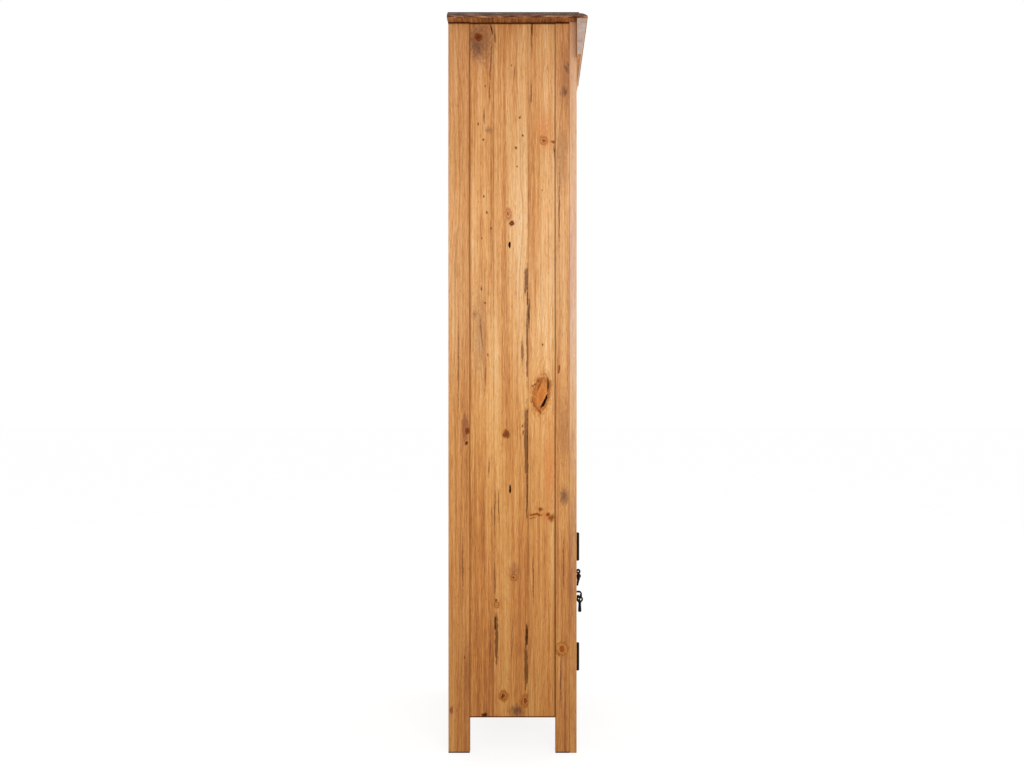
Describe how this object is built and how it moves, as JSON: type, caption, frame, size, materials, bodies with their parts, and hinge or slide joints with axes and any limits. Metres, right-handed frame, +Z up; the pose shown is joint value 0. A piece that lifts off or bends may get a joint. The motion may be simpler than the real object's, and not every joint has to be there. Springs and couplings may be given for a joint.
{
  "type": "bathroom cabinet",
  "caption": "Tall narrow pine bathroom cabinet on legs, with open shelves above a hinged door, a moulded top and crown, and black iron fittings.",
  "frame": {"origin": "on the floor, under the centre of the whole cabinet's outline seen from above, pull included", "axes": "+Z up; the front with the door faces -Y; +X is to the right as seen from the front"},
  "size_m": [0.48, 0.3284, 1.7],
  "materials": {
    "pine_oiled": "waxed honey pine",
    "pine_top": "waxed pine, stained greyer on the moulded edge",
    "pine_inside": "plain sawn and planed pine",
    "black_iron": "black, satin, slightly rough",
    "plain_steel": "zinc plated",
    "dowel_beech": "fluted beech, unfinished"
  },
  "bodies": {
    "carcase": {"back_boards": "pine_inside", "back_foot_rail": "pine_inside", "back_top_rail": "pine_inside", "bottom_board": "pine_oiled", "crown_moulding": "pine_top", "door_bay_shelf": "pine_oiled", "door_stop_batten": "pine_inside", "face_foot_rail": "pine_oiled", "face_frame_dowels": "dowel_beech", "face_middle_rail": "pine_oiled", "face_top_rail": "pine_oiled", "hinge_frame_screws": "black_iron", "left_back_stile": "pine_oiled", "left_cleat_screws": "plain_steel", "left_cleats": "pine_inside", "left_face_stile": "pine_oiled", "left_side_panel": "pine_oiled", "left_side_stile": "pine_oiled", "lower_hinge_frame_leaf": "black_iron", "lower_hinge_pin": "black_iron", "open_shelf_1": "pine_oiled", "open_shelf_2": "pine_oiled", "open_shelf_3": "pine_oiled", "right_back_stile": "pine_oiled", "right_cleat_screws": "plain_steel", "right_cleats": "pine_inside", "right_face_stile": "pine_oiled", "right_side_panel": "pine_oiled", "right_side_stile": "pine_oiled", "top_board": "pine_top", "top_board_screws": "plain_steel", "upper_hinge_frame_leaf": "black_iron", "upper_hinge_pin": "black_iron"},
    "door": {"door_hinge_stile": "pine_oiled", "door_free_stile": "pine_oiled", "door_foot_rail": "pine_oiled", "door_top_rail": "pine_oiled", "door_panel": "pine_oiled", "upper_hinge_door_leaf": "black_iron", "lower_hinge_door_leaf": "black_iron", "hinge_door_screws": "black_iron", "latch_rose": "black_iron", "pull_plate": "black_iron", "pull_pin": "black_iron", "pull_bolts": "black_iron"},
    "latch": {"latch_lever": "black_iron", "latch_spindle": "plain_steel", "latch_tongue": "black_iron", "latch_nut": "plain_steel"},
    "pendant": {"pull_pendant": "black_iron"}
  },
  "joints": [
    {"name": "door_hinge", "type": "hinge", "parent": "carcase", "child": "door", "pos_m": [-0.172, -0.1358, 0.338], "axis": [0, 0, -1], "range_deg": [0, 170]},
    {"name": "latch_turn", "type": "hinge", "parent": "door", "child": "latch", "pos_m": [0.147, -0.1318, 0.33], "axis": [0, -1, 0], "range_deg": [0, 90]},
    {"name": "pendant_swing", "type": "hinge", "parent": "door", "child": "pendant", "pos_m": [0.147, -0.1558, 0.2706], "axis": [-1, 0, 0], "range_deg": [-5, 75]}
  ]
}
